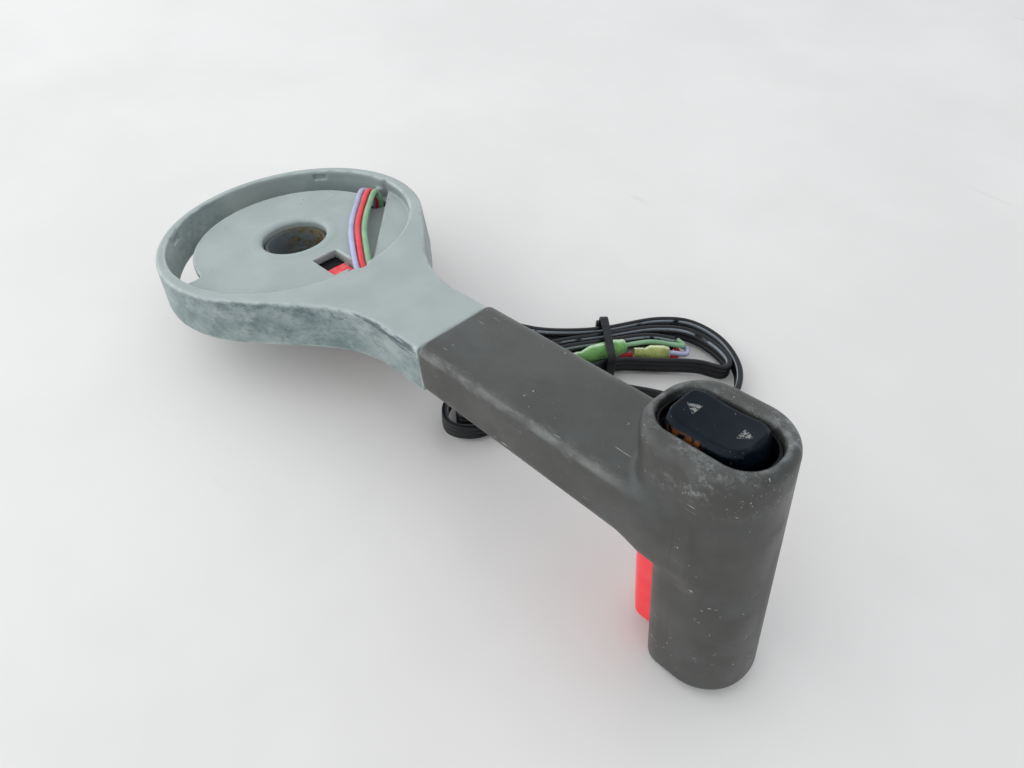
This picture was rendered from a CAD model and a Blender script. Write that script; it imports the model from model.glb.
"""Looks of a boat's engine control lever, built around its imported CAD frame.

Blender's units are metres. Shapes are drawn in millimetres from the middle of the hub's rim, as
lengths along the arm (x), across it (y) and up from the rim (z), and place() turns them into the
row frame. Cast and moulded pieces are sampled as signed distances, so that their edges and
corners are rounded as a casting's are, and meshed from those.
"""
import functools
import math

import bpy
import numpy as np
from mathutils import Matrix, Vector


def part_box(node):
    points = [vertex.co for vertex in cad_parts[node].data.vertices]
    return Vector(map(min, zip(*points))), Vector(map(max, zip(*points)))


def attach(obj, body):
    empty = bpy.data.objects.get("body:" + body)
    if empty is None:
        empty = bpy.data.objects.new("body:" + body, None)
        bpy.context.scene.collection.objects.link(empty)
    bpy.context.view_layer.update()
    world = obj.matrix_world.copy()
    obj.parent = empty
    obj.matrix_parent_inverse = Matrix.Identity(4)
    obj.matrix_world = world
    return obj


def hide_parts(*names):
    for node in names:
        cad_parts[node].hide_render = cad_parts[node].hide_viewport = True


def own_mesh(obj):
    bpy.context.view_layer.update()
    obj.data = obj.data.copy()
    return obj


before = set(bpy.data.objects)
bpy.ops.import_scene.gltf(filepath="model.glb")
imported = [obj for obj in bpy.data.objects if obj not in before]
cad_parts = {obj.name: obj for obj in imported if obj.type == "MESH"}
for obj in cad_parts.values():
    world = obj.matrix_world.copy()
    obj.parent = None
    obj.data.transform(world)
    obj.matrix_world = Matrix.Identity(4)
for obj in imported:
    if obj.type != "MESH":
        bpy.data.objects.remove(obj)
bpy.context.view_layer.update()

MM = 0.001
INSERT_LOW, INSERT_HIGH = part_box("spline_insert")
RIM = Vector(((INSERT_LOW.x + INSERT_HIGH.x) / 2, 0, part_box("lever_arm")[1].z))


def place(points):
    """Millimetres from the rim's middle to metres in the row frame."""
    return np.asarray(points, float) * MM + np.array(RIM)


# --- solids as signed distances, in mm
def join(a, b, r):
    """Joins two solids with a concave fillet of radius r."""
    corner = np.hypot(np.maximum(r - a, 0), np.maximum(r - b, 0))
    return np.maximum(r, np.minimum(a, b)) - corner


def meet(a, b, r):
    """What two solids have in common, with its new edge rounded to radius r."""
    corner = np.hypot(np.maximum(a + r, 0), np.maximum(b + r, 0))
    return np.minimum(-r, np.maximum(a, b)) + corner


def cut(a, b, r):
    """Solid a without solid b, with the new edge rounded to radius r."""
    return meet(a, -b, r)


def slab(v, low, high):
    return np.abs(v - (low + high) / 2) - (high - low) / 2


def disc(x, y, r, cx=0.0, cy=0.0):
    return np.hypot(x - cx, y - cy) - r


def rectangle(x, y, x0, x1, y0, y1, r=0.0):
    """A rectangle whose corners have radius r, which may differ from place to place."""
    qx = slab(x, x0, x1) + r
    qy = slab(y, y0, y1) + r
    return np.hypot(np.maximum(qx, 0), np.maximum(qy, 0)) + np.minimum(np.maximum(qx, qy), 0) - r


def drum(x, y, z, r, low, high, cx=0.0, cy=0.0):
    """An upright cylinder."""
    return np.maximum(disc(x, y, r, cx, cy), slab(z, low, high))


def block(x, y, z, x0, x1, y0, y1, low, high, r=0.0):
    """An upright box whose four standing edges have radius r."""
    return np.maximum(rectangle(x, y, x0, x1, y0, y1, r), slab(z, low, high))


def together(*solids):
    """Solids as one, with sharp inner corners."""
    return functools.reduce(np.minimum, solids)


def without(body, *solids):
    """A body without some solids, with sharp edges."""
    return functools.reduce(np.maximum, [-solid for solid in solids], body)


def sector(x, y, from_deg, to_deg):
    """The wedge between two rays from the middle, less than half a turn apart."""
    a, b = math.radians(from_deg), math.radians(to_deg)
    after_from = math.cos(a) * y - math.sin(a) * x
    after_to = math.cos(b) * y - math.sin(b) * x
    return np.maximum(-after_from, after_to)


def turned(x, y, angle_deg):
    """Coordinates along and across a direction in the plane."""
    a = math.radians(angle_deg)
    return x * math.cos(a) + y * math.sin(a), y * math.cos(a) - x * math.sin(a)


def polygon(x, y, corners):
    """Signed distance to a closed polygon."""
    best = np.full(np.broadcast(x, y).shape, np.inf)
    crossings = np.zeros(best.shape, bool)
    for (ax, ay), (bx, by) in zip(corners, np.roll(corners, -1, axis=0)):
        ex, ey = bx - ax, by - ay
        along = np.clip(((x - ax) * ex + (y - ay) * ey) / (ex * ex + ey * ey), 0, 1)
        best = np.minimum(best, np.hypot(x - ax - along * ex, y - ay - along * ey))
        if ay != by:
            spans = (ay > y) != (by > y)
            crossings ^= spans & (x < ax + ex * (y - ay) / ey)
    return np.where(crossings, -best, best)


def ease(v, start, end):
    """0 before start, 1 after end, smooth between."""
    t = np.clip((v - start) / (end - start), 0, 1)
    return t * t * (3 - 2 * t)


def bezier(a, b, c, d, count):
    t = np.linspace(0, 1, count)[:, None]
    a, b, c, d = map(np.asarray, (a, b, c, d))
    return (1 - t) ** 3 * a + 3 * (1 - t) ** 2 * t * b + 3 * (1 - t) * t * t * c + t ** 3 * d


def steps(*stretches):
    """Grid lines from stretches of (start, end, step)."""
    return np.unique(np.concatenate([np.arange(a, b, s) for a, b, s in stretches]))


# --- surfaces of solids
class Grid:
    """Grid lines of a box, and its x, y and z as arrays that numpy spreads over the box."""

    def __init__(self, x, y, z):
        self.lines = [np.asarray(v, float) for v in (x, y, z)]
        self.x, self.y, self.z = (
            v.astype(np.float32).reshape([-1 if i == a else 1 for i in range(3)])
            for a, v in enumerate(self.lines))


CELL_CORNERS = [(i, j, k) for i in (0, 1) for j in (0, 1) for k in (0, 1)]


def blend_corners(values, local):
    """A cell's value and slope at a local point, from the values at its eight corners."""
    value = np.zeros(len(local))
    slope = np.zeros((len(local), 3))
    for corner, v in zip(CELL_CORNERS, values):
        weights = [local[:, a] if corner[a] else 1 - local[:, a] for a in range(3)]
        value += v * weights[0] * weights[1] * weights[2]
        for a in range(3):
            side = 1 if corner[a] else -1
            slope[:, a] += side * v * weights[(a + 1) % 3] * weights[(a + 2) % 3]
    return value, slope


def cell_vertices(field, lines, cells):
    """One vertex in each cell that the surface passes through, moved on to the surface."""
    values = [field[tuple((cells + c).T)] for c in CELL_CORNERS]
    total = np.zeros((len(cells), 3))
    count = np.zeros(len(cells))
    for axis in range(3):
        for first, corner in enumerate(CELL_CORNERS):
            if corner[axis]:
                continue
            second = first + (4, 2, 1)[axis]
            a, b = values[first], values[second]
            crossed = (a < 0) != (b < 0)
            point = np.tile(np.array(corner, float), (len(cells), 1))
            point[:, axis] = np.where(crossed, a / np.where(crossed, a - b, 1), 0)
            total += point * crossed[:, None]
            count += crossed
    local = total / count[:, None]
    low = np.stack([lines[a][cells[:, a]] for a in range(3)], 1)
    size = np.stack([lines[a][cells[:, a] + 1] for a in range(3)], 1) - low
    for _ in range(3):
        value, slope = blend_corners(values, local)
        slope /= size
        step = slope * (value / np.maximum((slope ** 2).sum(1), 1e-6))[:, None]
        local = np.clip(local - step / size, 0, 1)
    return low + local * size


def mesh_of(field, grid):
    """Vertices and quads of the surface where the field is zero."""
    inside = field < 0
    shape = np.array(field.shape) - 1
    count = np.zeros(shape, np.uint8)
    for i, j, k in CELL_CORNERS:
        count += inside[i:i + shape[0], j:j + shape[1], k:k + shape[2]]
    cells = np.argwhere((count > 0) & (count < 8))
    number = np.full(shape, -1, np.int64)
    number[tuple(cells.T)] = np.arange(len(cells))
    quads = []
    for axis in range(3):
        b, c = np.eye(3, dtype=int)[[(axis + 1) % 3, (axis + 2) % 3]]
        here = np.moveaxis(inside, axis, 0)
        edges = np.argwhere(np.moveaxis(here[:-1] != here[1:], 0, axis))
        keep = ((edges - b - c >= 0) & (edges < shape)).all(1)
        edges = edges[keep]
        ring = [number[tuple((edges - shift).T)] for shift in (b + c, c, 0 * b, b)]
        quad = np.stack(ring, 1)
        leaving = inside[tuple(edges.T)]
        quads.append(np.where(leaving[:, None], quad, quad[:, ::-1]))
    return cell_vertices(field, grid.lines, cells), np.concatenate(quads)


# --- pieces from meshes
def make_mesh(name, points, faces):
    """A smooth-shaded mesh from points in metres and faces of one size."""
    mesh = bpy.data.meshes.new(name)
    faces = np.asarray(faces, np.int32)
    count, size = faces.shape
    mesh.vertices.add(len(points))
    mesh.vertices.foreach_set("co", np.asarray(points, np.float32).ravel())
    mesh.loops.add(count * size)
    mesh.loops.foreach_set("vertex_index", faces.ravel())
    mesh.polygons.add(count)
    mesh.polygons.foreach_set("loop_start", np.arange(0, count * size, size, dtype=np.int32))
    mesh.update(calc_edges=True)
    mesh.polygons.foreach_set("use_smooth", np.ones(count, bool))
    mesh.update()
    return mesh


def add_object(name, data):
    obj = bpy.data.objects.new(name, data)
    bpy.context.scene.collection.objects.link(obj)
    return obj


def piece(name, shell, material, node, body="lever"):
    """Adds a shell of points in mm and faces. It stands for a CAD node and rides on its body."""
    points, faces = shell
    obj = add_object(name, make_mesh(name, place(points), faces))
    obj.data.materials.append(material)
    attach(obj, body)
    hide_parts(node)
    return obj


def mark_points(obj, name, marked):
    """Stores which of the mesh's points are marked, for its material."""
    attribute = obj.data.attributes.new(name, "FLOAT", "POINT")
    attribute.data.foreach_set("value", marked.astype(np.float32))


# --- sweeps and lathes
def smooth_path(points, count):
    """A centripetal Catmull-Rom curve through points, as count evenly spaced places."""
    p = np.asarray(points, float)
    p = np.vstack([2 * p[0] - p[1], p, 2 * p[-1] - p[-2]])
    fine = []
    for a, b, c, d in zip(p, p[1:], p[2:], p[3:]):
        gaps = [math.sqrt(np.linalg.norm(v - u)) for u, v in ((a, b), (b, c), (c, d))]
        knots = np.cumsum([0] + gaps)
        t = np.linspace(knots[1], knots[2], 24, endpoint=False)[:, None]

        def between(u, v, start, end):
            return ((end - t) * u + (t - start) * v) / (end - start)

        ab = between(a, b, knots[0], knots[1])
        bc = between(b, c, knots[1], knots[2])
        cd = between(c, d, knots[2], knots[3])
        fine.append(between(between(ab, bc, knots[0], knots[2]),
                            between(bc, cd, knots[1], knots[3]), knots[1], knots[2]))
    fine = np.vstack(fine + [p[-2:-1]])
    travelled = np.concatenate([[0], np.cumsum(np.linalg.norm(np.diff(fine, axis=0), axis=1))])
    at = np.linspace(0, travelled[-1], count)
    return np.stack([np.interp(at, travelled, fine[:, a]) for a in range(3)], 1)


def path_frames(path, up=None):
    """Side and up directions along a path: turned as little as possible, or kept upright."""
    tangents = np.gradient(path, axis=0)
    tangents /= np.linalg.norm(tangents, axis=1)[:, None]
    if up is not None:
        sides = np.cross(tangents, up)
        sides /= np.linalg.norm(sides, axis=1)[:, None]
        return sides, np.cross(sides, tangents)
    side = np.cross(tangents[0], (0.0, 0.3, 1.0))
    sides = []
    for t in tangents:
        side = side - t * side.dot(t)
        side /= np.linalg.norm(side)
        sides.append(side)
    sides = np.array(sides)
    return sides, np.cross(sides, tangents)


def sweep(path, section, up=None):
    """A closed solid swept along a path. The section is a loop of (side, up) offsets."""
    sides, ups = path_frames(path, up)
    section = np.asarray(section, float)
    rings = (path[:, None] + sides[:, None] * section[None, :, :1]
             + ups[:, None] * section[None, :, 1:])
    return close_rings(rings)


def ring_quads(rows, columns, joined):
    """Quads from each ring in joined to the ring after it. After the last ring comes the first."""
    row = joined[:, None]
    column = np.arange(columns)[None]
    following = (column + 1) % columns
    below = (row + 1) % rows
    quads = np.stack(np.broadcast_arrays(
        row * columns + column, row * columns + following,
        below * columns + following, below * columns + column), -1)
    return quads.reshape(-1, 4)


CAP_SCALE = 0.02


def close_rings(rings):
    """Joins rings of points into quads and closes both ends with small inner rings."""
    rows, columns = rings.shape[:2]
    start, end = rings[0].mean(0), rings[-1].mean(0)
    caps = [start + (rings[0] - start) * CAP_SCALE, end + (rings[-1] - end) * CAP_SCALE]
    rings = np.concatenate([caps[0][None], rings, caps[1][None]])
    return rings.reshape(-1, 3), ring_quads(rows + 2, columns, np.arange(rows + 1))


def circle(r, count=20):
    turn = 2 * math.pi * np.arange(count) / count
    return np.stack([r * np.cos(turn), r * np.sin(turn)], 1)


def lathe(profile, start, along, count=48):
    """Turns a profile of (radius, distance) about a line; the profile may loop back inside."""
    along = np.asarray(along, float) / np.linalg.norm(along)
    side = np.cross(along, (0.0, 0.0, 1.0))
    side /= np.linalg.norm(side)
    other = np.cross(along, side)
    turn = 2 * math.pi * np.arange(count) / count
    spokes = np.cos(turn)[:, None] * side + np.sin(turn)[:, None] * other
    profile = np.asarray(profile, float)
    rings = (np.asarray(start, float) + profile[:, None, 1:] * along
             + profile[:, None, :1] * spokes[None])
    rows = len(profile)
    quads = ring_quads(rows, count, np.arange(rows))
    return rings.reshape(-1, 3), quads[:, ::-1]


# --- materials
def rgb(code):
    """A hex colour as linear light."""
    def linear(v):
        return v / 12.92 if v <= 0.04045 else ((v + 0.055) / 1.055) ** 2.4
    return tuple(linear((code >> shift & 255) / 255) for shift in (16, 8, 0)) + (1.0,)


class Shader:
    """One material and short calls that add its nodes."""

    def __init__(self, name, roughness=0.5, metallic=0.0):
        self.material = bpy.data.materials.new(name)
        self.material.use_nodes = True
        self.nodes = self.material.node_tree.nodes
        self.surface = self.nodes["Principled BSDF"].inputs
        self.feed(self.surface["Roughness"], roughness)
        self.feed(self.surface["Metallic"], metallic)
        self.place = self.node("TexCoord").outputs["Object"]
        self.geometry = self.node("NewGeometry").outputs

    def feed(self, socket, value):
        """Links or sets an input; None leaves it as it is."""
        if isinstance(value, bpy.types.NodeSocket):
            self.material.node_tree.links.new(value, socket)
        elif value is not None:
            socket.default_value = value

    def node(self, kind, inputs=None, **settings):
        """A new node with some settings, and with some inputs by name or number."""
        node = self.nodes.new("ShaderNode" + kind)
        for name, value in settings.items():
            setattr(node, name, value)
        for socket, value in (inputs or {}).items():
            self.feed(node.inputs[socket], value)
        return node

    def stretched(self, scale, turn=(0, 0, 0)):
        inputs = {"Vector": self.place, "Scale": scale, "Rotation": turn}
        return self.node("Mapping", inputs).outputs["Vector"]

    def noise(self, scale, detail=3.0, roughness=0.5, vector=None):
        return self.node("TexNoise", {
            "Vector": vector or self.place, "Scale": scale, "Detail": detail,
            "Roughness": roughness}).outputs["Fac"]

    def ramp(self, value, low, high, start=0.0, end=1.0):
        inputs = dict(enumerate((value, low, high, start, end)))
        return self.node("MapRange", inputs, interpolation_type="SMOOTHSTEP").outputs["Result"]

    def math(self, operation, a, b=None):
        return self.node("Math", {0: a, 1: b}, operation=operation).outputs["Value"]

    def product(self, first, *others):
        for other in others:
            first = self.math("MULTIPLY", first, other)
        return first

    def mix(self, share, a, b):
        return self.node("Mix", {"Factor": share, 6: a, 7: b}, data_type="RGBA").outputs[2]

    def attribute(self, name):
        return self.node("Attribute", attribute_name=name).outputs["Fac"]

    def spots(self, low, high, *noise):
        """A noise, as 0 where it is under low and 1 where it is over high."""
        return self.ramp(self.noise(*noise), low, high)

    def uneven(self, least, most, *noise):
        """A value that wanders between two limits."""
        return self.ramp(self.noise(*noise), 0.3, 0.7, least, most)

    def between(self, first, second, *noise):
        """A colour that wanders between two hex colours."""
        return self.mix(self.spots(0.35, 0.65, *noise), rgb(first), rgb(second))

    def over(self, tone, code, *masks):
        """A hex colour laid over a tone where all the masks are high."""
        return self.mix(self.product(*masks), tone, rgb(code))

    def axis(self, name, source=None):
        """One coordinate of the place, in metres, or of another vector."""
        return self.node("SeparateXYZ", {0: source or self.place}).outputs[name]

    def within(self, name, low, high, soft):
        """1 where a coordinate, in mm from the rim's middle, lies in a range."""
        offset = RIM["XYZ".index(name)]
        low, high, soft = low * MM + offset, high * MM + offset, soft * MM
        rise = self.ramp(self.axis(name), low - soft, low + soft)
        fall = self.ramp(self.axis(name), high - soft, high + soft, 1.0, 0.0)
        return self.product(rise, fall)

    def edges(self, low, high):
        """How sharply the surface bulges."""
        return self.ramp(self.geometry["Pointiness"], low, high)

    def bump(self, *layers):
        """Stacks (height, strength, distance in mm) bumps on the normal."""
        normal = None
        for height, strength, distance in layers:
            normal = self.node("Bump", {
                "Strength": strength, "Distance": distance * MM, "Height": height,
                "Normal": normal}).outputs["Normal"]
        self.feed(self.surface["Normal"], normal)

    def finish(self, color, roughness=None):
        self.feed(self.surface["Base Color"], color)
        self.feed(self.surface["Roughness"], roughness)
        return self.material

    def scratches(self, scale, turn, low, high):
        """Sparse fine lines along one direction."""
        lines = self.noise(scale, 2.0, 0.5, self.stretched((0.06, 1.0, 1.0), turn))
        return self.ramp(lines, low, high)


def paint():
    s = Shader("grey_paint")
    tone = s.between(0x9AA6A3, 0xA3AEAB, 55, 4)
    upright = s.math("ABSOLUTE", s.axis("Z", s.geometry["Normal"]))
    side = s.ramp(upright, 0.35, 0.75, 1.0, 0.0)
    near = s.ramp(s.axis("Y"), -0.002, -0.012)
    outer = s.product(side, near)
    blotches = s.spots(0.36, 0.68, 60, 8, 0.7, s.stretched((0.6, 1, 1.2)))
    stained = s.product(outer, s.ramp(s.axis("X"), -0.06, 0.02, 0.5, 1.0))
    tone = s.over(tone, 0x7F9092, outer, 0.35)
    tone = s.over(tone, 0x5F7474, stained, blotches, 0.85)
    fine = s.spots(0.47, 0.66, 330, 7, 0.8, s.stretched((0.5, 1, 1)))
    tone = s.over(tone, 0x4C5D60, stained, fine, 0.6)
    pale = s.spots(0.53, 0.66, 130, 5, 0.6, s.stretched((0.7, 1, 1), (0.3, 0.2, 0.9)))
    tone = s.over(tone, 0xB2BBB8, side, pale, 0.35)
    edge = s.edges(0.503, 0.535)
    tone = s.over(tone, 0xBCC5C2, edge, s.spots(0.32, 0.6, 200, 5), 0.8)
    streaks = s.spots(0.5, 0.6, 420, 5, 0.65, s.stretched((0.16, 1, 1), (0, 0, 0.35)))
    brow = s.product(s.within("X", 24, 104, 6), s.within("Z", -4.5, 0.6, 0.8), near)
    brow = s.product(brow, s.ramp(upright, 0.96, 0.6), s.ramp(s.axis("X"), 0.02, 0.075, 0.4, 1.0))
    tone = s.over(tone, 0x3F535A, streaks, brow, 0.9)
    dusk = s.product(side, s.within("Z", -19, -1.5, 0.8), s.ramp(s.axis("Y"), 0.0, 0.02))
    tone = s.over(tone, 0x6E7A7B, dusk, 0.35)
    specks = s.spots(0.7, 0.74, 750, 2)
    tone = s.over(tone, 0x3E4A4C, specks, s.spots(0.5, 0.6, 40), 0.8)
    s.bump((s.noise(1500, 2), 0.06, 0.15), (streaks, 0.15, 0.1))
    return s.finish(tone, s.uneven(0.42, 0.58, 80, 4))


def grip_plastic():
    s = Shader("grey_moulded_plastic")
    tone = s.between(0x3B3B38, 0x464643, 38, 4, 0.6)
    cool = s.spots(0.5, 0.7, 60, 5, 0.6, s.stretched((0.8, 1.1, 1), (0.5, 0.1, 0.4)))
    tone = s.over(tone, 0x494F50, cool, 0.5)
    head = s.within("Z", 9, 25, 4)
    worn = s.product(s.edges(0.503, 0.54), s.spots(0.36, 0.6, 170, 5, 0.65))
    tone = s.over(tone, 0x84898A, worn, 0.6)
    patches = s.spots(0.46, 0.58, 75, 3)
    rubbed = s.product(head, patches, s.spots(0.46, 0.64, 420, 8, 0.8))
    tone = s.over(tone, 0x84898A, rubbed, 0.6)
    dots = s.product(head, s.spots(0.64, 0.69, 1300, 3, 0.6), s.spots(0.47, 0.6, 110))
    tone = s.over(tone, 0xA9AAA2, dots, 0.7)
    chips = s.product(s.spots(0.7, 0.75, 900, 2), s.spots(0.5, 0.62, 70))
    lines = s.product(s.scratches(900, (0.2, 0.9, 0.5), 0.69, 0.73), s.spots(0.56, 0.64, 85))
    others = s.product(s.scratches(1100, (0.9, 0.2, -0.8), 0.7, 0.74), s.spots(0.55, 0.64, 64))
    marks = s.math("MAXIMUM", chips, s.math("MAXIMUM", lines, others))
    tone = s.over(tone, 0xB7B8AC, marks, 0.8)
    streaky = s.spots(0.48, 0.7, 520, 8, 0.75, s.stretched((0.3, 1, 1)))
    crease = s.product(s.within("Y", -17.5, -13.4, 1.2), s.within("Z", -2.6, 1.5, 1.2))
    scuffed = s.product(crease, s.within("X", 104, 186, 8), streaky)
    tone = s.over(tone, 0x92958F, scuffed, 0.4)
    polished = s.product(
        s.within("Y", -16.2, -14.6, 0.6), s.within("Z", -1.6, 0.4, 0.6),
        s.within("X", 104, 186, 4), s.spots(0.3, 0.6, 95, 4))
    tone = s.over(tone, 0x8B8F8D, polished, 0.35)
    tone = s.over(tone, 0x8F928C, s.within("X", 103.4, 104.7, 0.25), 0.35)
    seam_z = s.product(s.within("X", 203.6, 204.1, 0.15), s.within("Z", -60, 0, 4))
    seam = s.product(seam_z, s.ramp(s.axis("Y"), -0.012, -0.0135))
    tone = s.over(tone, 0x33332F, seam, 0.5)
    s.bump((s.noise(2400, 2), 0.14, 0.12), (marks, 0.2, 0.08), (seam, -0.4, 0.2))
    return s.finish(tone, s.uneven(0.35, 0.5, 90, 4))


def dark_plastic(name, code=0x101216, roughness=0.4):
    s = Shader(name, roughness)
    s.feed(s.surface["Specular IOR Level"], 0.3)
    tone = s.between(code, code + 0x06070A, 300, 4)
    s.bump((s.noise(2600, 2), 0.1, 0.08))
    return s.finish(tone, s.uneven(roughness - 0.06, roughness + 0.08, 220, 4))


def rocker_plastic():
    s = Shader("rocker_plastic")
    s.feed(s.surface["Specular IOR Level"], 0.16)
    s.feed(s.surface["Specular Tint"], (0.72, 0.86, 1.0, 1.0))
    tone = s.between(0x040A12, 0x09111A, 240, 5)
    worn = s.product(s.edges(0.51, 0.56), s.spots(0.35, 0.65, 500, 4))
    tone = s.over(tone, 0x4A5058, worn, 0.5)
    dust = s.product(s.spots(0.69, 0.75, 1500, 2), s.spots(0.5, 0.62, 160))
    tone = s.over(tone, 0x8C9094, dust, 0.6)
    grease = s.product(
        s.within("X", 193.5, 203.5, 1.2), s.within("Z", 14, 19.4, 0.6),
        s.ramp(s.axis("Y"), -0.0062, -0.0074), s.spots(0.42, 0.56, 420, 4, 0.6))
    tone = s.over(tone, 0x7A4A20, grease, 0.95)
    paint_left = s.product(s.attribute("mark"), s.spots(0.42, 0.54, 1300, 3, 0.6))
    tone = s.over(tone, 0x9FA19C, paint_left, 0.75)
    s.bump((s.noise(2200, 2), 0.12, 0.08))
    return s.finish(tone, s.uneven(0.3, 0.42, 200, 4))


def red_plastic():
    s = Shader("red_plastic", 0.36)
    tone = s.between(0xFA2E3A, 0xFF3A44, 120, 4)
    lines = s.spots(0.5, 0.7, 800, 3, 0.6, s.stretched((0.08, 0.08, 1)))
    tone = s.over(tone, 0xF7666C, lines, 0.35)
    fronted = s.ramp(s.axis("X", s.geometry["Normal"]), -0.35, -0.7)
    tone = s.over(tone, 0xFF8088, fronted, 0.4)
    worn = s.product(s.edges(0.51, 0.56), s.spots(0.4, 0.6, 300, 4))
    tone = s.over(tone, 0xF79A9E, worn, 0.4)
    s.bump((lines, 0.2, 0.06), (s.noise(1800, 2), 0.06, 0.08))
    return s.finish(tone, s.ramp(lines, 0, 1, 0.32, 0.48))


def metal(name, code, roughness=0.32):
    s = Shader(name, roughness, 1.0)
    tone = s.mix(s.spots(0.3, 0.7, 500, 4), rgb(code), rgb(code - 0x141412))
    s.bump((s.noise(900, 3, 0.5, s.stretched((0.2, 1, 1))), 0.08, 0.06))
    return s.finish(tone, s.uneven(roughness - 0.08, roughness + 0.1, 300, 4))


def rusty_steel():
    s = Shader("rusty_steel")
    far = s.ramp(s.axis("Y"), -0.003, 0.007)
    rust = s.product(s.spots(0.4, 0.55, 120, 5, 0.6), s.math("ADD", s.product(far, 0.85), 0.15))
    tone = s.between(0x54482F, 0x7A6C4A, 600, 5)
    tone = s.mix(rust, rgb(0x77848B), tone)
    facing_up = s.ramp(s.axis("Z", s.geometry["Normal"]), 0.2, 0.6)
    tone = s.over(tone, 0x46443A, facing_up, 0.85)
    s.feed(s.surface["Metallic"], s.ramp(rust, 0, 1, 0.2, 0.05))
    s.bump((s.noise(900, 4), 0.35, 0.2))
    return s.finish(tone, s.ramp(rust, 0, 1, 0.4, 0.8))


def vinyl(name, code, roughness=0.36):
    s = Shader(name, roughness)
    pale = tuple(min(1.0, v * 1.15 + 0.02) for v in rgb(code)[:3]) + (1.0,)
    tone = s.mix(s.spots(0.35, 0.65, 180, 4), rgb(code), pale)
    s.bump((s.noise(700, 3), 0.05, 0.1))
    return s.finish(tone, s.uneven(roughness - 0.05, roughness + 0.08, 150, 3))


def clear_vinyl(name, code):
    s = Shader(name, 0.24)
    s.feed(s.surface["Transmission Weight"], 0.35)
    s.feed(s.surface["IOR"], 1.35)
    deep = tuple(v * 0.6 for v in rgb(code)[:3]) + (1.0,)
    tone = s.mix(s.spots(0.35, 0.7, 140, 4), rgb(code), deep)
    s.bump((s.noise(260, 3), 0.12, 0.3))
    return s.finish(tone, s.uneven(0.18, 0.34, 200, 3))


def cable_jacket():
    s = Shader("cable_jacket")
    s.feed(s.surface["Specular IOR Level"], 0.35)
    tone = s.between(0x090B0F, 0x12151A, 160, 4)
    stripe = s.product(s.ramp(s.attribute("stripe"), 0.4, 0.6), s.spots(0.3, 0.42, 120, 4))
    tone = s.over(tone, 0xA9B3BB, stripe, 0.9)
    s.bump((s.noise(900, 3), 0.06, 0.1))
    return s.finish(tone, s.uneven(0.26, 0.42, 110, 4))


PAINT = paint()
GRIP = grip_plastic()
BLACK = dark_plastic("black_plastic")
RUBBER = dark_plastic("black_rubber", 0x0D0E10, 0.62)
ROCKER = rocker_plastic()
RED = red_plastic()
STEEL = metal("plated_steel", 0xA8AAAC)
BRASS = metal("brass", 0xC29A4E, 0.28)
RUST = rusty_steel()
JACKET = cable_jacket()
WIRES = {
    "lilac": vinyl("lilac_vinyl", 0xA8ACCB),
    "red": vinyl("red_vinyl", 0xE02436),
    "green": vinyl("green_vinyl", 0x7DA882),
}
SLEEVE_GREEN = clear_vinyl("clear_green_vinyl", 0x86C46E)
SLEEVE_YELLOW = clear_vinyl("clear_yellow_vinyl", 0xBEC878)


# --- lever casting and its insert
HUB_R = 53.0
HUB_DEPTH = 18.0
HUB_FOOT_RISE = 3.0
HUB_FLARE_DEG = 50.0
RECESS_R = 48.4
RECESS_X = -1.0
WEB_TOP = -4.8
WEB_BOTTOM = -8.0
SLOT_INNER_R = 40.3
SLOT_DEG = (150, 268)
LEDGED_SLOT_DEG = (100, 153)
LEDGE_DEG = (98, 152)
LEDGE_INNER_R = 38.8
BOSS_R = 17.0
BOSS_FOOT = -36.0
BORE_R = 13.0
GROOVE_DEG = 48
WINDOW = (22.5, 38.5, -5.2, 5.2)
CABLE_HOLE = (-3.5, 43.2)
CABLE_HOLE_R = 4.0
GROMMET_SEAT_R = 5.9
NOTCHES_DEG = (45, 135, 225, 315)
ARM_FAR_Y = 14.5
ARM_NEAR_Y = -16.0
ARM_CHANNEL = (46, 101, -12, 11.5)
SLEEVE_X = 104.0
TONGUE_END_X = 184.5
TONGUE_FOOT = -15.5
TONGUE_INSIDE = 9.8
POST_X = 207.0
POST_R = 11.8
PILLAR_Y = -8.0
PILLAR_R = 3.0
PILLAR_FOOT = -15.7
SCREW_HOLE_R = 1.5
COVER_SCREWS_X = (50.0, 97.0)
GRIP_SCREWS_X = (118.0, 168.0)
SWITCH_SCREW_X = 215.2


def lever_outline():
    """Round the hub from one flare to the other, then along the arm."""
    flare = math.radians(HUB_FLARE_DEG)
    start = (HUB_R * math.cos(flare), HUB_R * math.sin(flare))
    far = bezier(start, (51, 30), (62, 16), (84, ARM_FAR_Y), 24)
    near = bezier((84, ARM_NEAR_Y), (62, -17), (51, -30), (start[0], -start[1]), 24)
    turn = np.linspace(2 * math.pi - flare, flare, 120)
    hub = HUB_R * np.stack([np.cos(turn), np.sin(turn)], 1)
    mouth = SLEEVE_X - 0.3
    return np.vstack([far, [(mouth, ARM_FAR_Y), (mouth, ARM_NEAR_Y)], near[:-1], hub[:-1]])


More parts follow.
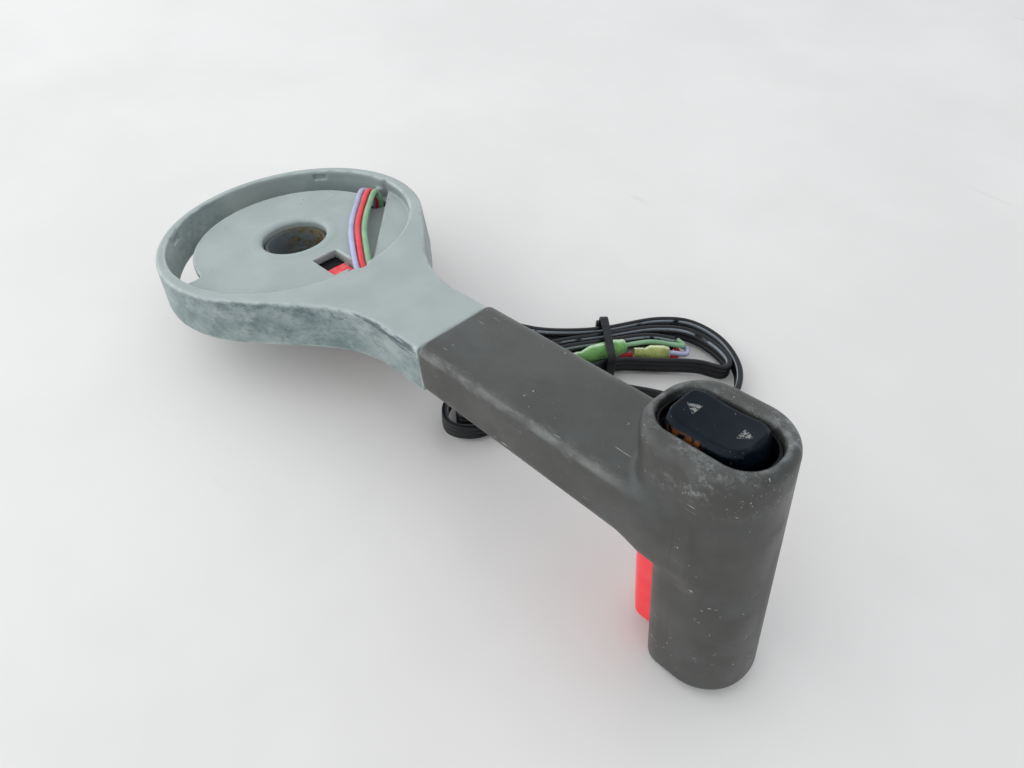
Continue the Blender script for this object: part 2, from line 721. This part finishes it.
def hub_and_arm(x, y, z):
    """The outline's body, with a recess over the web and hollows under it and in the arm."""
    outline = polygon(x, y, lever_outline()).astype(np.float32)
    draft = 1.1 * np.clip(-z / HUB_DEPTH, 0, 1) * (1 - ease(x, 40, 80))
    foot = -HUB_DEPTH + HUB_FOOT_RISE * np.clip(-x / HUB_R, 0, 1)
    body = meet(outline - draft, slab(z, foot, 0), 1.3)
    recess = meet(disc(x, y, RECESS_R, RECESS_X), WEB_TOP - z, 1.0)
    body = cut(body, recess, 1.0)
    hollow = meet(disc(x, y, RECESS_R, RECESS_X), z - WEB_BOTTOM, 1.5)
    body = cut(body, hollow, 1.6)
    channel = meet(rectangle(x, y, *ARM_CHANNEL, 2), z + 3.5, 1.2)
    return cut(body, channel, 0.6)


def ledge_and_groove_plate(x, y, z, body):
    ring = meet(disc(x, y, HUB_R - 2), LEDGE_INNER_R - np.hypot(x, y), 0.5)
    ledge = np.maximum(np.maximum(ring, sector(x, y, *LEDGE_DEG)), slab(z, -14.9, -7))
    along, _ = turned(x, y, GROOVE_DEG)
    plate = np.maximum(slab(along, 24, 38), drum(x, y, z, HUB_R - 2, -12, -7))
    return join(np.minimum(body, ledge), plate, 0.6)


def slots_and_holes(x, y, z, body):
    radius = np.hypot(x, y)
    band = meet(disc(x, y, RECESS_R + 0.2, RECESS_X), SLOT_INNER_R - radius, 0.3)
    slot = meet(band, sector(x, y, *SLOT_DEG), 2.0)
    body = cut(body, slot, 0.6)
    ledged = meet(band, sector(x, y, *LEDGED_SLOT_DEG), 2.0)
    body = cut(body, meet(ledged, -12.4 - z, 0.5), 0.6)
    along, across = turned(x, y, GROOVE_DEG)
    groove = meet(rectangle(along, across, 27, 35, -36, 36, 2), -9.5 - z, 1.0)
    body = cut(body, groove, 0.9)
    hole = disc(x, y, CABLE_HOLE_R, *CABLE_HOLE)
    body = cut(body, hole, 0.6)
    seat = np.maximum(disc(x, y, GROMMET_SEAT_R, *CABLE_HOLE), z + 12.1)
    body = without(body, seat)
    window = np.maximum(rectangle(x, y, *WINDOW, 0.7), -11 - z)
    body = cut(body, window, 0.5)
    passage = np.maximum(rectangle(x, y, 21, 60, -5.6, 5.6, 1), z - WEB_BOTTOM + 0.3)
    body = without(body, passage)
    body = cut(body, block(x, y, z, 42, 60, -3, 10, -9, -3.5, 1.5), 0.5)
    for angle in NOTCHES_DEG:
        out, aside = turned(x, y, angle)
        body = cut(body, block(out, aside, z, 44, 50.2, -3, 3, -4.3, -2, 0.8), 0.4)
    return body


def boss_and_bore(x, y, z, body):
    boss = meet(disc(x, y, BOSS_R), slab(z, BOSS_FOOT, -5.5), 0.8)
    body = join(body, boss, 2.0)
    return cut(body, disc(x, y, BORE_R), 2.2)


def tongue(x, y, z, body):
    """The open channel under the sleeve, joined to the arm through its mouth."""
    inside_yz = (-TONGUE_INSIDE, TONGUE_INSIDE, -25, -5.2)
    outside = block(x, y, z, 99, TONGUE_END_X, -13, 13, TONGUE_FOOT, -2.2, 1)
    inside = block(x, y, z, 90, 190, *inside_yz, 1)
    mouth = block(x, y, z, 99, 105, *inside_yz)
    return together(without(body, mouth), cut(outside, inside, 0.5))


def post(x, y, z, body):
    """The cheeks beside the switch, the post inside the grip and the switch screw's pad."""
    cheeks = block(x, np.abs(y), z, TONGUE_END_X - 1, 210.5, 8.6, 11.5, TONGUE_FOOT, -2.8, 0.5)
    column = meet(disc(x, y, POST_R, POST_X), POST_X + 2.6 - x, 0.6)
    column = np.maximum(column, slab(z, -60, -6))
    pad = drum(x, y, z, 2.8, -7, -2.8, SWITCH_SCREW_X)
    return together(body, cheeks, column, pad)


def pillars_and_screw_holes(x, y, z, body):
    for sx in COVER_SCREWS_X:
        body = together(body, drum(x, y, z, PILLAR_R, PILLAR_FOOT, -2.5, sx, PILLAR_Y))
    for sx in GRIP_SCREWS_X:
        body = together(body, drum(x, y, z, PILLAR_R, TONGUE_FOOT, -4.2, sx, PILLAR_Y))
    spring_stop = block(x, y, z, 84.4, 87, -13, -4.5, PILLAR_FOOT, -2.5)
    body = together(body, spring_stop)
    for sx in COVER_SCREWS_X + GRIP_SCREWS_X:
        body = without(body, drum(x, y, z, SCREW_HOLE_R, -20, -7, sx, PILLAR_Y))
    return without(body, drum(x, y, z, 1.3, -14, 0, SWITCH_SCREW_X))


def arm_casting():
    grid = Grid(steps((-56, 106, 0.55), (106, 221, 1.1)), steps((-56, 56.5, 0.55)),
                steps((-62, -37, 1.2), (-37, 1.5, 0.45)))
    x, y, z = grid.x, grid.y, grid.z
    body = hub_and_arm(x, y, z)
    for shaped in (ledge_and_groove_plate, boss_and_bore, slots_and_holes, tongue, post,
                   pillars_and_screw_holes):
        body = shaped(x, y, z, body)
    piece("arm_casting", mesh_of(body, grid), PAINT, "lever_arm")


INSERT_R = 12.7
TEETH = 18
TOOTH_MIDDLE_R = 8.85
TOOTH_HALF_HEIGHT = 0.45
COUNTERBORE_R = 11.2
COUNTERBORE_FLOOR = -17.0


def splined_insert():
    grid = Grid(steps((-13.5, 13.6, 0.3)), steps((-13.5, 13.6, 0.3)), steps((-36.5, -6.5, 0.4)))
    x, y, z = grid.x, grid.y, grid.z
    radius, angle = np.hypot(x, y), np.arctan2(y, x)
    body = meet(radius - INSERT_R, slab(z, BOSS_FOOT + 0.3, -7.4), 0.6)
    teeth = TOOTH_MIDDLE_R + TOOTH_HALF_HEIGHT * np.clip(2.2 * np.cos(TEETH * angle), -1, 1)
    body = cut(body, (radius - teeth) * 0.8, 0.4)
    counterbore = meet(radius - COUNTERBORE_R, COUNTERBORE_FLOOR - z, 0.6)
    body = cut(body, counterbore, 0.5)
    piece("splined_insert", mesh_of(body, grid), RUST, "spline_insert")


# --- sleeve and grip
HEAD_X = 184.8
HEAD_CORNER = 13.0
FINGER_CORNER = 6.0
FINGER_X = 194.8
GRIP_END_X = 222.0
GRIP_TOP = 20.0
GRIP_BOTTOM = -70.0
GRIP_HALF = 15.0
GRIP_WALL = 2.8
GRIP_INNER_TOP = 14.0
SLEEVE_HALF = 16.5
SLEEVE_TOP = 1.0
SLEEVE_BOTTOM = -19.0
SLEEVE_WALL = 3.1
SLEEVE_CORNER = 4.5
SLEEVE_FALL_START = 0.9
SLEEVE_FALL_SLOPE = 0.0285
ROCKER_OPENING = (187.3, 218.5, -8.7, 8.7)
TRIGGER_SLOT_END_X = 200.6


def sleeve_bottom(x):
    """The sleeve's underside falls a little towards the grip."""
    return SLEEVE_BOTTOM + SLEEVE_FALL_START - SLEEVE_FALL_SLOPE * (x - SLEEVE_X)


def grip_section(x, y, front, hub_corner, inset=0.0):
    """The grip seen from above, with smaller corners towards the hub than at its far end."""
    half = GRIP_HALF - inset
    hub_end = rectangle(x, y, front + inset, 300, -half, half, hub_corner - inset)
    far_end = rectangle(x, y, 100, GRIP_END_X - inset, -half, half, half - 0.5)
    return np.maximum(hub_end, far_end)


def grip_outside(x, y, z):
    """The sleeve over the arm, and the grip's head and finger part, which differ in length."""
    half = SLEEVE_HALF - (SLEEVE_HALF - GRIP_HALF) * ease(x, 187, 204)
    section = rectangle(y, z, -half, half, sleeve_bottom(x), SLEEVE_TOP, SLEEVE_CORNER)
    sleeve = meet(section, slab(x, SLEEVE_X, 208), 0.9)
    head = meet(grip_section(x, y, HEAD_X, HEAD_CORNER), z - GRIP_TOP, 3.2)
    head = np.maximum(head, SLEEVE_BOTTOM - z)
    fingers = meet(grip_section(x, y, FINGER_X, FINGER_CORNER), GRIP_BOTTOM - z, 2.8)
    fingers = np.maximum(fingers, z)
    fillet = 2.5 + 3.5 * ease(-z, 2, 12)
    return join(sleeve, np.minimum(head, fingers), fillet)


def grip_hollow(x, y, z):
    side = SLEEVE_HALF - SLEEVE_WALL
    floor_z = SLEEVE_BOTTOM + SLEEVE_WALL
    ceiling_z = SLEEVE_TOP - GRIP_WALL
    section = rectangle(y, z, -side, side, floor_z, ceiling_z, 1)
    sleeve = np.maximum(section, slab(x, 90, HEAD_X + 4))
    inside = GRIP_HALF - GRIP_WALL
    link = block(x, y, z, HEAD_X, 199.6, -inside, inside, floor_z, ceiling_z)
    head = grip_section(x, y, HEAD_X, HEAD_CORNER, GRIP_WALL)
    head = np.maximum(head, slab(z, floor_z, GRIP_INNER_TOP))
    fingers = grip_section(x, y, FINGER_X, FINGER_CORNER, GRIP_WALL)
    fingers = np.maximum(fingers, slab(z, GRIP_BOTTOM + GRIP_WALL, floor_z + 1))
    return together(sleeve, link, head, fingers)


def grip_moulding():
    grid = Grid(steps((102, 224, 0.5)), steps((-18, 18.5, 0.5)), steps((-72, 22.5, 0.5)))
    x, y, z = grid.x, grid.y, grid.z
    body = cut(grip_outside(x, y, z), grip_hollow(x, y, z), 0.4)
    opening = np.maximum(rectangle(x, y, *ROCKER_OPENING, 8.1), 13 - z)
    body = cut(body, opening, 1.5)
    slot = block(x, y, z, 178, TRIGGER_SLOT_END_X, -8.3, 8.3, -66, -22.1, 0.5)
    body = cut(body, slot, 0.6)
    body = without(body, block(x, y, z, 194, TRIGGER_SLOT_END_X, -5.5, 5.5, -23.6, -14, 0.5))
    for sx in GRIP_SCREWS_X:
        body = without(body, drum(x, y, z, SCREW_HOLE_R, -22, -15, sx, PILLAR_Y))
    piece("grip_moulding", mesh_of(body, grid), GRIP, "grip_shell")


# --- rocker
SWITCH_X = 202.8
PIVOT_Z = 10.0
ROCKER_HALF_LENGTH = 13.2
ROCKER_HALF_WIDTH = 7.6
ROCKER_FOOT = 14.2
ROCKER_TOP = 22.4
DISH_R = 44.0
DISH_LOWEST = 20.6
MARK = {"tip": 8.8, "base": 6.0, "half": 1.8}


def rocker_marks(x, y, wider=0.0):
    """Two triangles that point at the rocker's ends."""
    tip, base, half = MARK["tip"] + wider, MARK["base"] - wider, MARK["half"] + wider
    return together(*(
        polygon(x, y, np.array([(side * tip, 0.0), (side * base, half), (side * base, -half)]))
        for side in (-1, 1)))


def rocker_button():
    """The dished button with its stem, rounded towards the hub and with its far corners cut."""
    fine = 0.22
    grid = Grid(
        steps((-14, 14.1, fine)) + SWITCH_X, steps((-8.2, 8.3, fine)), steps((3.5, 23, fine)))
    x, y, z = grid.x - SWITCH_X, grid.y, grid.z
    half = ROCKER_HALF_LENGTH
    side = polygon(x, z, np.array([
        (-half, ROCKER_FOOT), (half, ROCKER_FOOT), (half, ROCKER_FOOT + 3.0),
        (half - 2.8, ROCKER_TOP), (2.8 - half, ROCKER_TOP), (-half, ROCKER_FOOT + 3.6)]))
    side = cut(side, disc(x, z, DISH_R, 0, DISH_LOWEST + DISH_R), 0.5)
    corner = np.where(x < 0, 6.8, 1.0)
    plan = rectangle(x, y, -half, half, -ROCKER_HALF_WIDTH, ROCKER_HALF_WIDTH, corner)
    facets = (x + np.abs(y) - 16.2) * math.sqrt(0.5)
    plan = meet(plan, facets, 2.5)
    bevel = (side + plan + 1.5) * math.sqrt(0.5)
    body = meet(meet(side, plan, 0.2), bevel, 0.35)
    body = join(body, block(x, y, z, -3.2, 3.2, -6, 6, 4.2, 16, 0.5), 0.8)
    top = DISH_LOWEST + DISH_R - np.sqrt(DISH_R ** 2 - x ** 2)
    body = cut(body, np.maximum(rocker_marks(x, y), top - 0.35 - z), 0.12)
    plunger_bore = np.maximum(disc(x, y, 1.8), z - PIVOT_Z + 1.7)
    body = without(body, disc(x, z, 1.3, 0, PIVOT_Z), plunger_bore)
    points, quads = mesh_of(body, grid)
    obj = piece("rocker_button", (points, quads), ROCKER, "rocker", "rocker")
    painted = rocker_marks(points[:, 0] - SWITCH_X, points[:, 1], 0.2) < 0
    mark_points(obj, "mark", painted & (points[:, 2] > 18))


# --- trigger
TRIGGER_FRONT_X = 184.0
TRIGGER_BACK_X = 200.5
TRIGGER_HALF = 7.8
TRIGGER_LOW, TRIGGER_HIGH = -65.0, -23.6


def trigger_pad():
    """The pad under the fingers, and above it the stem whose fork holds the slider."""
    grid = Grid(steps((183, 202, 0.3)), steps((-8.6, 8.7, 0.3)), steps((-66, -8, 0.4)))
    x, y, z = grid.x, grid.y, grid.z
    behind_front = TRIGGER_FRONT_X - x
    bevel = (behind_front + np.abs(y) - TRIGGER_HALF + 3.0) * math.sqrt(0.5)
    front = meet(behind_front, np.abs(y) - TRIGGER_HALF, 0.4)
    front = meet(meet(front, bevel, 1.0), x - TRIGGER_BACK_X, 0.4)
    ends = meet(slab(z, TRIGGER_LOW, TRIGGER_HIGH), behind_front, 4.5)
    stem = block(x, y, z, TRIGGER_BACK_X - 6, TRIGGER_BACK_X, -5, 5, -25, -9.5, 0.5)
    fork = block(x, y, z, 193, 202, -3.3, 3.3, -14.8, -8)
    pin_hole = disc(x, z, 1.25, 197.5, -12.5)
    body = without(together(meet(front, ends, 0.8), stem), fork, pin_hole)
    piece("trigger_pad", mesh_of(body, grid), RED, "lock_trigger", "lock")


# --- springs and screws
RETURN_SPRING = {"radius": 2.6, "wire_r": 0.45, "length": 19.8, "turns": 7}
PLUNGER_SPRING = {"radius": 1.15, "wire_r": 0.2, "length": 2.0, "turns": 3}


def coil(order, start, radius, wire_r, length, turns):
    """A compression spring from its start. The order of the axes gives its direction."""
    t = np.linspace(0, 1, int(turns * 28))
    angle = 2 * math.pi * turns * t
    rise = wire_r + (length - 2 * wire_r) * t
    path = np.stack([rise, radius * np.cos(angle), radius * np.sin(angle)], 1)
    return sweep(path[:, order] + start, circle(wire_r, 12))


def springs():
    shell = coil([0, 1, 2], (64.1, PILLAR_Y, -12.3), **RETURN_SPRING)
    spring = piece("return_coil", shell, STEEL, "return_spring")
    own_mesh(spring)
    shell = coil([1, 2, 0], (SWITCH_X, 0, 6.15), **PLUNGER_SPRING)
    piece("plunger_coil", shell, STEEL, "plunger_spring", "rocker")


SCREW_TIP_Z = -9.0
SCREW_HEAD_R = 2.6
THREAD_R = 1.15
THREAD_DEPTH = 0.12
THREAD_PITCH = 0.8


def screw_piece(node, centre_x, seat_z):
    """A pan-head screw driven upwards, with a cross recess."""
    around = steps((-3, 3.1, 0.16))
    grid = Grid(
        around + centre_x, around + PILLAR_Y, steps((seat_z - 2, SCREW_TIP_Z + 0.6, 0.2)))
    x, y, z = grid.x - centre_x, grid.y - PILLAR_Y, grid.z
    radius, angle = np.hypot(x, y), np.arctan2(y, x)
    head = meet(radius - SCREW_HEAD_R, slab(z, seat_z - 1.4, seat_z), 0.7)
    thread = THREAD_R + THREAD_DEPTH * np.sin(angle + 2 * math.pi * z / THREAD_PITCH)
    shank = np.maximum((radius - thread) * 0.8, slab(z, seat_z - 0.5, SCREW_TIP_Z))
    body = join(head, shank, 0.2)
    arm, half = 1.4, 0.35
    bars = together(
        rectangle(x, y, -arm, arm, -half, half), rectangle(x, y, -half, half, -arm, arm))
    body = cut(body, np.maximum(bars, z - seat_z + 0.5), 0.12)
    name = node.replace("screw", "screw_head")
    piece(name, mesh_of(body, grid), STEEL, node)


def screws():
    for number, sx in enumerate(COVER_SCREWS_X, 1):
        screw_piece(f"cover_screw_{number}", sx, PILLAR_FOOT - 2)
    for number, sx in enumerate(GRIP_SCREWS_X, 1):
        screw_piece(f"grip_screw_{number}", sx, sleeve_bottom(sx) - 0.15)


# --- wires, cable and plugs
REST_TILT = math.radians(9)
REST_DEPTH = 38.0
TABLE_X = np.array([math.cos(REST_TILT), 0, -math.sin(REST_TILT)])
TABLE_UP = np.array([math.sin(REST_TILT), 0, math.cos(REST_TILT)])


def on_table(points):
    """[x, y, height] over the surface that the lever rests on, to mm from the rim's middle."""
    p = np.asarray(points, float)
    return p[:, :1] * TABLE_X + p[:, 1:2] * (0, 1, 0) + (p[:, 2:] - REST_DEPTH) * TABLE_UP


WIRE_R = 1.15
WIRE_GAP = 2.7


def wire_path(step):
    """A switch wire's way from its terminal to its strand of the cable. Step is -1, 0 or 1."""
    offset = WIRE_GAP * step
    lane, exit_y = 4.3 + offset, 4.0 + 2.6 * step
    hole_x, hole_y = CABLE_HOLE[0] + 2.4 * step, CABLE_HOLE[1]
    across = math.radians(44)
    sx, sy = offset * math.cos(across), offset * math.sin(across)
    return [
        (SWITCH_X + 5.3 * step, offset, -7.7), (192, offset, -7.7), (178, lane, -7.8),
        (140, lane, -7.8), (100, lane, -7.8), (70, lane, -7.4), (53, exit_y, -6.3),
        (45.5, exit_y, -5.4), (31 + sx, 11.5 + sy, -3.1), (18.5 + sx, 19.5 + sy, -2.4),
        (5 + sx, 31.5 + sy, -2.0), (-3.4 + 2.6 * step, 40.6 + 1.4 * step, -2.3),
        (hole_x, hole_y + 0.4, -6.6), (hole_x, hole_y, -12), (hole_x, hole_y, -19.5 + 1.4 * step),
        (CABLE_HOLE[0] + 1.0 + 1.8 * step, hole_y, -25.0 + 2.5 * step),
        (CABLE_HOLE[0] + 5.0, hole_y + 0.3, -26.6 + STRAND_PITCH * step),
    ]


def switch_wires():
    for step, colour in zip((-1, 0, 1), WIRES):
        shell = sweep(smooth_path(wire_path(step), 260), circle(WIRE_R))
        node = f"wire_{colour}"
        piece(f"switch_wire_{colour}", shell, WIRES[colour], node)


COIL_HEIGHT = 4.8
COIL = [
    (66, 46), (85, 54), (96, 64), (105, 76), (117, 98), (127, 106.5), (142, 107.5), (157, 99),
    (163, 85), (153, 72), (138, 62), (129, 55), (119, 38), (113, 16), (109, 2), (101, -3.5),
    (93, 2), (91, 18), (95, 50), (107.8, 73.8), (119.5, 93.5), (129.5, 101.8), (142, 103.2),
    (151.5, 99.8), (152.5, 95.5), (143.5, 90), (131, 77.5), (119.5, 64.5), (112.5, 42),
    (108.5, 18), (105.5, 6), (101, 2), (96.8, 6), (95.5, 20), (99.5, 50), (110.6, 71.4),
    (120.8, 87.5), (129, 93.5),
]
STRAND_R = 1.22
STRAND_PITCH = 2.3


def ribbon_section():
    """Three round strands side by side, as a loop of (side, up) offsets from the lowest."""
    right = []
    for strand in (-1, 0, 1):
        low = -90 if strand == -1 else -66
        high = 90 if strand == 1 else 66
        for turn in np.radians(np.linspace(low, high, 11)):
            up = STRAND_PITCH * strand + STRAND_R * math.sin(turn)
            right.append((STRAND_R * math.cos(turn), up))
    left = [(-s, u) for s, u in right[-2:0:-1]]
    return np.array(right + left)


def ribbon_cable():
    hx, hy = CABLE_HOLE
    lead_in = [(hx + 3, hy, -26), (hx + 14, hy + 2, -30)]
    run = [(40, 42, COIL_HEIGHT + 2)] + [(x, y, COIL_HEIGHT) for x, y in COIL]
    path = smooth_path(np.vstack([lead_in, on_table(run)]), 620)
    section = ribbon_section()
    points, quads = sweep(path, section, TABLE_UP)
    obj = piece("ribbon_cable", (points, quads), JACKET, "harness_cable")
    striped = (section[:, 0] > 0.55) & (np.abs(section[:, 1] - STRAND_PITCH) < 0.75)
    mark_points(obj, "stripe", np.tile(striped, len(points) // len(section)))


TIE = {"x": 112.4, "y": 70.0, "across": -40.0, "half": 12.1, "top": 11.6, "width": 3.2}


def tie_band():
    """The tie's loop and ratchet head, drawn with x across the bundle, y up and z along it."""
    half, top = TIE["half"], TIE["top"]
    grid = Grid(steps((-16, 14.2, 0.25)), steps((-0.5, 13.4, 0.25)), steps((-3, 3.1, 0.25)))
    x, y, z = grid.x, grid.y, grid.z
    outside = rectangle(x, y, -half - 1, half + 1, 0.1, top + 1, 3.2)
    band = cut(outside, rectangle(x, y, -half, half, 1.1, top, 2.4), 0.2)
    band = meet(band, np.abs(z) - TIE["width"] / 2, 0.25)
    head = meet(rectangle(x, y, -half - 2.6, -half - 0.3, 3, 7.6, 0.5), np.abs(z) - 2.4, 0.4)
    points, quads = mesh_of(together(band, head), grid)
    turn = math.radians(TIE["across"])
    across = np.array([math.cos(turn), math.sin(turn)])
    along = np.array([math.sin(turn), -math.cos(turn)])
    flat = np.array([TIE["x"], TIE["y"]]) + points[:, :1] * across + points[:, 2:] * along
    shell = on_table(np.column_stack([flat, points[:, 1]])), quads
    piece("tie_band", shell, BLACK, "cable_tie")


PLUGS = {
    "green": {"start": (107.5, 50, 7.6), "end": (117.6, 74.5, 7.6), "r": 2.4, "middle": 3.6,
              "vinyl": SLEEVE_GREEN, "slot": "clear_green"},
    "yellow": {"start": (122.3, 75.8, 6.2), "end": (131.5, 86, 6.2), "r": 2.2, "middle": 3.2,
               "vinyl": SLEEVE_YELLOW, "slot": "clear_yellow"},
    "red": {"start": (103.5, 28, 5.4), "end": (103.6, 48, 5.4), "r": 2.4, "middle": 3.2,
            "vinyl": SLEEVE_GREEN, "slot": "clear_green"},
}
SKIN = 0.6


def sleeve_profile(r, middle, length):
    """A soft sleeve: a narrow collar, a crease, a wide body and a flared end, with its inside."""
    t = np.linspace(0, 1, 40)
    outer = r + (middle - r) * ease(t, 0.3, 0.5) - (middle - r - 0.5) * ease(t, 0.82, 1.0)
    for depth, crease in ((0.25, 0.3), (0.2, 0.8)):
        outer = outer - depth * np.exp(-((t - crease) / 0.02) ** 2)
    outside = np.stack([outer, t * length], 1)
    inside = np.stack([outer - SKIN, t * length], 1)[::-1]
    lip = [(outer[-1] - SKIN / 2, length + 0.25)]
    rim = [(outer[0] - SKIN / 2, -0.2)]
    return np.vstack([outside, lip, inside, rim])


def pin_profile(length):
    return np.array([
        (0.02, 0), (1.0, 0), (1.15, 0.2), (1.15, length - 3), (0.75, length - 2.6),
        (0.72, length - 2.2), (1.15, length - 1.6), (0.9, length - 0.7), (0.4, length),
        (0.02, length)])


def plugs():
    for colour, plug in PLUGS.items():
        start, end = on_table([plug["start"], plug["end"]])
        length = np.linalg.norm(end - start)
        along = (end - start) / length
        sleeve = lathe(sleeve_profile(plug["r"], plug["middle"], length), start, along)
        piece(f"soft_sleeve_{colour}", sleeve, plug["vinyl"], f"plug_sleeve_{colour}")
        pin = lathe(pin_profile(0.5 * length), start + along * 0.22 * length, along, 24)
        piece(f"bullet_pin_{colour}", pin, BRASS, f"plug_pin_{colour}")


LEAD_R = 1.0
LEADS = {
    "green": [
        (129.7, 94.2, 6.9), (133.6, 93.4, 7), (130.4, 90.8, 7), (123.6, 85.6, 7),
        (119.8, 79.4, 7.3), (117.2, 73.6, 7.6), (116, 70.7, 7.6)],
    "lilac": [
        (129.7, 94.2, 4.6), (134.4, 94.6, 5), (136.5, 91.6, 5.6), (133, 87.6, 6.2),
        (129.2, 83.4, 6.2)],
    "red": [
        (129.7, 94.2, 2.4), (133, 92, 2.4), (130, 87, 2.4), (119.4, 76.5, 2.4), (114.6, 68, 2.5),
        (109.5, 58, 2.8), (105, 51, 4.6), (103.6, 46, 5.4), (103.6, 42.5, 5.4)],
}


def leads():
    for colour, stops in LEADS.items():
        shell = sweep(smooth_path(on_table(stops), 90), circle(LEAD_R, 16))
        piece(f"plug_lead_{colour}", shell, WIRES[colour], f"lead_{colour}")


# --- CAD nodes that stay in view
NODE_FINISH = {
    "channel_cover": BLACK, "switch_housing": BLACK, "switch_base": BLACK, "switch_seal": RUBBER,
    "switch_terminal_down": BRASS, "switch_terminal_common": BRASS, "switch_terminal_up": BRASS,
    "contact_blade": BRASS, "rocker_pin": STEEL, "rocker_plunger": BRASS, "switch_screw": STEEL,
    "lock_slider": RED, "slider_pin": STEEL, "slider_bumper": RUBBER,
    "slider_guide_front": BLACK, "slider_guide_rear": BLACK, "cable_grommet": RUBBER,
}


def finish_nodes():
    """Gives each CAD node that is still shown its material and a fine bevel."""
    for node, material in NODE_FINISH.items():
        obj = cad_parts[node]
        obj.data.materials.clear()
        obj.data.materials.append(material)
        weld = obj.modifiers.new("weld", "WELD")
        weld.merge_threshold = 1e-6
        bevel = obj.modifiers.new("bevel", "BEVEL")
        bevel.width = 0.15 * MM
        bevel.segments = 2
        bevel.limit_method = "ANGLE"
        bevel.angle_limit = math.radians(40)


# --- floor, light and camera
def tilted(points):
    """Points over the resting surface to the row frame, in metres."""
    return [Vector(p) for p in place(on_table(points))]


def floor():
    s = Shader("floor")
    tone = s.between(0xE6E4E1, 0xECEAE7, 6, 4, 0.6)
    lines = s.math(
        "MAXIMUM", s.scratches(60, (0, 0, 0.5), 0.71, 0.74),
        s.scratches(45, (0, 0, -0.9), 0.71, 0.74))
    tone = s.over(tone, 0xBDBBB7, lines, s.spots(0.5, 0.62, 9), 0.4)
    s.bump((s.noise(220, 3), 0.03, 0.3))
    material = s.finish(tone, s.uneven(0.36, 0.48, 14, 4))
    reach = 4000
    corners = [(-reach, -reach, 0), (reach, -reach, 0), (reach, reach, 0), (-reach, reach, 0)]
    obj = add_object("floor", make_mesh("floor", tilted(corners), [(0, 1, 2, 3)]))
    obj.data.materials.append(material)


def softbox(name, at, aim, size, power, color=(1, 1, 1)):
    light = bpy.data.lights.new(name, "AREA")
    light.shape = "RECTANGLE"
    light.size, light.size_y = size
    light.energy = power
    light.color = color
    obj = add_object(name, light)
    place_at, look_at = tilted([at, aim])
    obj.location = place_at
    obj.rotation_mode = "QUATERNION"
    obj.rotation_quaternion = (look_at - place_at).to_track_quat("-Z", "Y")


def lights():
    world = bpy.data.worlds.new("room")
    world.use_nodes = True
    background = world.node_tree.nodes["Background"]
    background.inputs["Color"].default_value = (0.93, 0.96, 1.0, 1)
    nodes, links = world.node_tree.nodes, world.node_tree.links
    direction = nodes.new("ShaderNodeSeparateXYZ")
    links.new(nodes.new("ShaderNodeTexCoord").outputs["Generated"], direction.inputs[0])
    strength = nodes.new("ShaderNodeMapRange")
    for socket, value in zip(strength.inputs[1:5], (-1, 1, 1.06, 0.6)):
        socket.default_value = value
    links.new(direction.outputs["X"], strength.inputs["Value"])
    links.new(strength.outputs["Result"], background.inputs["Strength"])
    bpy.context.scene.world = world
    middle = (90, 20, 0)
    softbox("window", (-620, -60, 640), middle, (2.2, 1.8), 1.2, (1.0, 0.99, 0.97))
    softbox("front", (-480, -760, 380), middle, (2.2, 1.2), 7.0)
    softbox("ceiling", (60, 300, 950), middle, (2.4, 2.0), 1.5)


CAMERA = {"at": (270.6, -114.3, 145.9), "heading": 0.890, "tilt": 0.709, "roll": -0.109}
FOCAL = 769.0 / 1024.0
SENSOR_MM = 36.0


def camera():
    data = bpy.data.cameras.new("camera")
    data.sensor_width = SENSOR_MM
    data.lens = SENSOR_MM * FOCAL
    data.clip_start = 0.01
    obj = add_object("camera", data)
    heading = Matrix.Rotation(CAMERA["heading"], 4, "Z")
    tilt = Matrix.Rotation(math.pi / 2 - CAMERA["tilt"], 4, "X")
    roll = Matrix.Rotation(CAMERA["roll"], 4, "Z")
    at = Matrix.Translation(place(CAMERA["at"]))
    obj.matrix_world = at @ heading @ tilt @ roll
    bpy.context.scene.camera = obj


# --- assembly
arm_casting()
splined_insert()
grip_moulding()
rocker_button()
trigger_pad()
springs()
screws()
switch_wires()
ribbon_cable()
tie_band()
plugs()
leads()
finish_nodes()
floor()
lights()
camera()
bpy.context.scene.view_settings.view_transform = "Standard"
